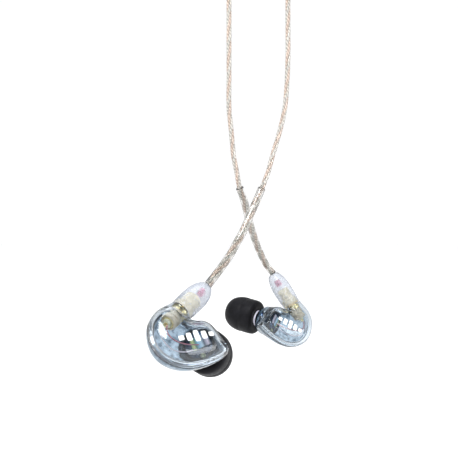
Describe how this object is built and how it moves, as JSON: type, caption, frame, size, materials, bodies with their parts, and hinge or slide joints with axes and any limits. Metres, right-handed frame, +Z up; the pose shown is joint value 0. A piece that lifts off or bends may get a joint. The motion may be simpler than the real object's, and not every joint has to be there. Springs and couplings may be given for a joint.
{
  "type": "in ear monitors",
  "caption": "Clear in ear monitors with foam tips on swivelling detachable connectors, ear hook sleeves, and a Y cable put away in a hanging coil with an audio plug.",
  "frame": {"origin": "the inside top of the hanging coil, where a peg or a finger carries it", "axes": "+Z up, +Y away from the side that shows both faces, +X to the left earpiece's side"},
  "size_m": [0.0508, 0.0735, 0.2269],
  "materials": {
    "clear_shell": "polished clear",
    "white_print": "printed ink",
    "filter_mesh": "fine mesh",
    "driver_metal": "dark satin",
    "magnet_metal": "plated",
    "diaphragm_film": "thin film",
    "copper_wire": "enamelled",
    "gold_plate": "plated, polished",
    "ivory_plastic": "moulded",
    "red_wire": "insulated",
    "tip_core_plastic": "soft translucent",
    "black_foam": "fine open foam",
    "clear_boot": "soft clear",
    "pink_sleeve": "heat-shrunk",
    "clear_sleeve": "flexible clear",
    "clear_cord": "clear jacket over twisted copper",
    "grey_plastic": "translucent grey",
    "black_rubber": "moulded",
    "black_plastic": "moulded"
  },
  "bodies": {
    "cable": {"right_boot": "clear_boot", "right_plug_barrel": "gold_plate", "right_plug_insulator": "ivory_plastic", "right_plug_pin": "gold_plate", "right_crimp_sleeve": "ivory_plastic", "right_wire_splice": "pink_sleeve", "right_ear_sleeve": "clear_sleeve", "right_leg_cord": "clear_cord", "right_leg_coil": "clear_cord", "left_boot": "clear_boot", "left_plug_barrel": "gold_plate", "left_plug_insulator": "ivory_plastic", "left_plug_pin": "gold_plate", "left_crimp_sleeve": "ivory_plastic", "left_wire_splice": "pink_sleeve", "left_ear_sleeve": "clear_sleeve", "left_leg_cord": "clear_cord", "left_leg_coil": "clear_cord", "splitter": "grey_plastic", "main_cord": "clear_cord", "main_coil": "clear_cord", "plug_relief": "black_rubber", "plug_housing": "black_plastic", "plug_sleeve_contact": "gold_plate", "plug_ring_contact": "gold_plate", "plug_tip_contact": "gold_plate", "plug_insulators": "black_plastic"},
    "right_snap": {"right_snap_ring": "gold_plate"},
    "right_earpiece": {"right_outer_shell": "clear_shell", "right_inner_shell": "clear_shell", "right_nozzle": "clear_shell", "right_face_mark": "white_print", "right_nozzle_filter": "filter_mesh", "right_driver_can": "driver_metal", "right_driver_magnet": "magnet_metal", "right_diaphragm": "diaphragm_film", "right_voice_coil": "copper_wire", "right_socket_shell": "gold_plate", "right_socket_insulator": "ivory_plastic", "right_socket_contact": "gold_plate", "right_lead_wires": "red_wire"},
    "right_tip": {"right_tip_core": "tip_core_plastic", "right_foam_tip": "black_foam"},
    "left_snap": {"left_snap_ring": "gold_plate"},
    "left_earpiece": {"left_outer_shell": "clear_shell", "left_inner_shell": "clear_shell", "left_nozzle": "clear_shell", "left_face_mark": "white_print", "left_nozzle_filter": "filter_mesh", "left_driver_can": "driver_metal", "left_driver_magnet": "magnet_metal", "left_diaphragm": "diaphragm_film", "left_voice_coil": "copper_wire", "left_socket_shell": "gold_plate", "left_socket_insulator": "ivory_plastic", "left_socket_contact": "gold_plate", "left_lead_wires": "red_wire"},
    "left_tip": {"left_tip_core": "tip_core_plastic", "left_foam_tip": "black_foam"},
    "slider": {"slider": "grey_plastic"}
  },
  "joints": [
    {"name": "right_swivel", "type": "hinge", "parent": "cable", "child": "right_snap", "pos_m": [-0.0227, -0.0285, -0.197], "axis": [0.4858, 0.7846, 0.3852], "continuous": true},
    {"name": "right_unplug", "type": "slide", "parent": "right_snap", "child": "right_earpiece", "axis": [-0.4858, -0.7846, -0.3852], "range_m": [0, 0.006]},
    {"name": "right_tip_pull", "type": "slide", "parent": "right_earpiece", "child": "right_tip", "axis": [0.2063, 0.8917, -0.403], "range_m": [0, 0.009]},
    {"name": "left_swivel", "type": "hinge", "parent": "cable", "child": "left_snap", "pos_m": [0.014, 0.022, -0.2035], "axis": [-0.5177, 0.1903, 0.8341], "continuous": true},
    {"name": "left_unplug", "type": "slide", "parent": "left_snap", "child": "left_earpiece", "axis": [0.5177, -0.1903, -0.8341], "range_m": [0, 0.006]},
    {"name": "left_tip_pull", "type": "slide", "parent": "left_earpiece", "child": "left_tip", "axis": [-0.8162, 0.5609, 0.1382], "range_m": [0, 0.009]},
    {"name": "slider_slide", "type": "slide", "parent": "cable", "child": "slider", "axis": [0, 0, 1], "range_m": [0, 0.01]}
  ]
}
